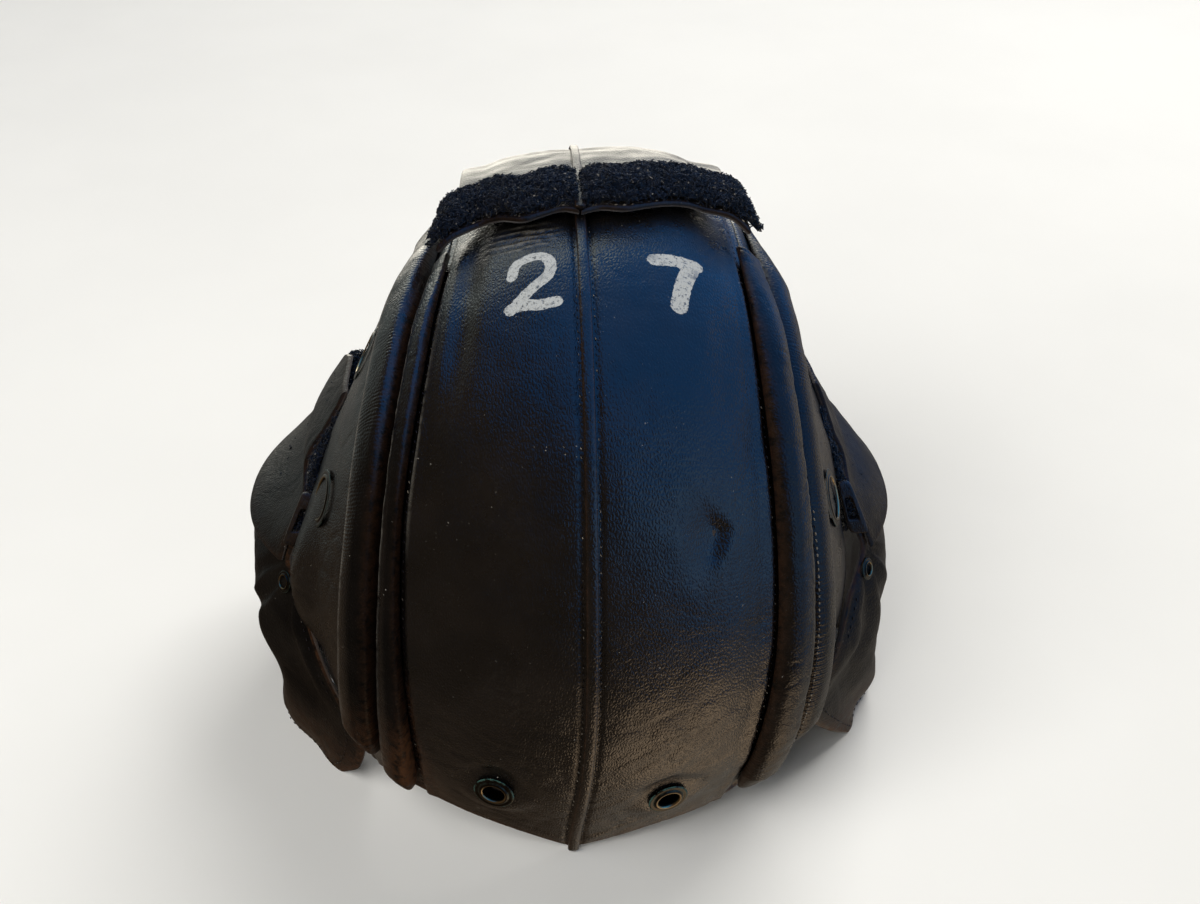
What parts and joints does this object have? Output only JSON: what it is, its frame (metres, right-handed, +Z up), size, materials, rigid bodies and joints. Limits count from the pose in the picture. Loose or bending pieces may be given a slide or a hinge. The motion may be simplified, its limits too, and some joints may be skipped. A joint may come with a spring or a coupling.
{
  "type": "leather tanker helmet",
  "caption": "Soft leather helmet with padded ribs, plush-edged brow flap turned up over the crown, and ear and cheek flaps hanging to the hem it stands on.",
  "frame": {"origin": "on the floor under the middle of the helmet's box", "axes": "+Z up, +Y the way the wearer looks, +X to the wearer's right"},
  "size_m": [0.2191, 0.1882, 0.1916],
  "materials": {
    "crown_leather": "fine-grained black leather, worn to a soft shine, brownish along folds and seams",
    "flap_leather": "softer black leather, creased, duller than the crown",
    "plush": "short dense blue-black plush",
    "aged_brass": "dull brass with dark and green patina, bright along its rims",
    "thread": "waxed dark thread"
  },
  "bodies": {
    "root": {"centre_welt": "crown_leather", "brow_welt": "flap_leather", "crown_left": "crown_leather", "side_panel_left": "crown_leather", "inner_rib_left": "crown_leather", "outer_rib_left": "crown_leather", "brow_flap_left": "flap_leather", "brow_fur_left": "plush", "nape_eyelet_left": "aged_brass", "side_eyelet_lower_left": "aged_brass", "side_eyelet_upper_left": "aged_brass", "ear_flap_left": "flap_leather", "ear_fur_left": "plush", "ear_tab_left": "flap_leather", "cheek_flap_left": "flap_leather", "cheek_eyelet_left": "aged_brass", "crown_right": "crown_leather", "side_panel_right": "crown_leather", "inner_rib_right": "crown_leather", "outer_rib_right": "crown_leather", "brow_flap_right": "flap_leather", "brow_fur_right": "plush", "nape_eyelet_right": "aged_brass", "side_eyelet_lower_right": "aged_brass", "side_eyelet_upper_right": "aged_brass", "ear_flap_right": "flap_leather", "ear_fur_right": "plush", "ear_tab_right": "flap_leather", "cheek_flap_right": "flap_leather", "cheek_eyelet_right": "aged_brass"}
  },
  "joints": []
}
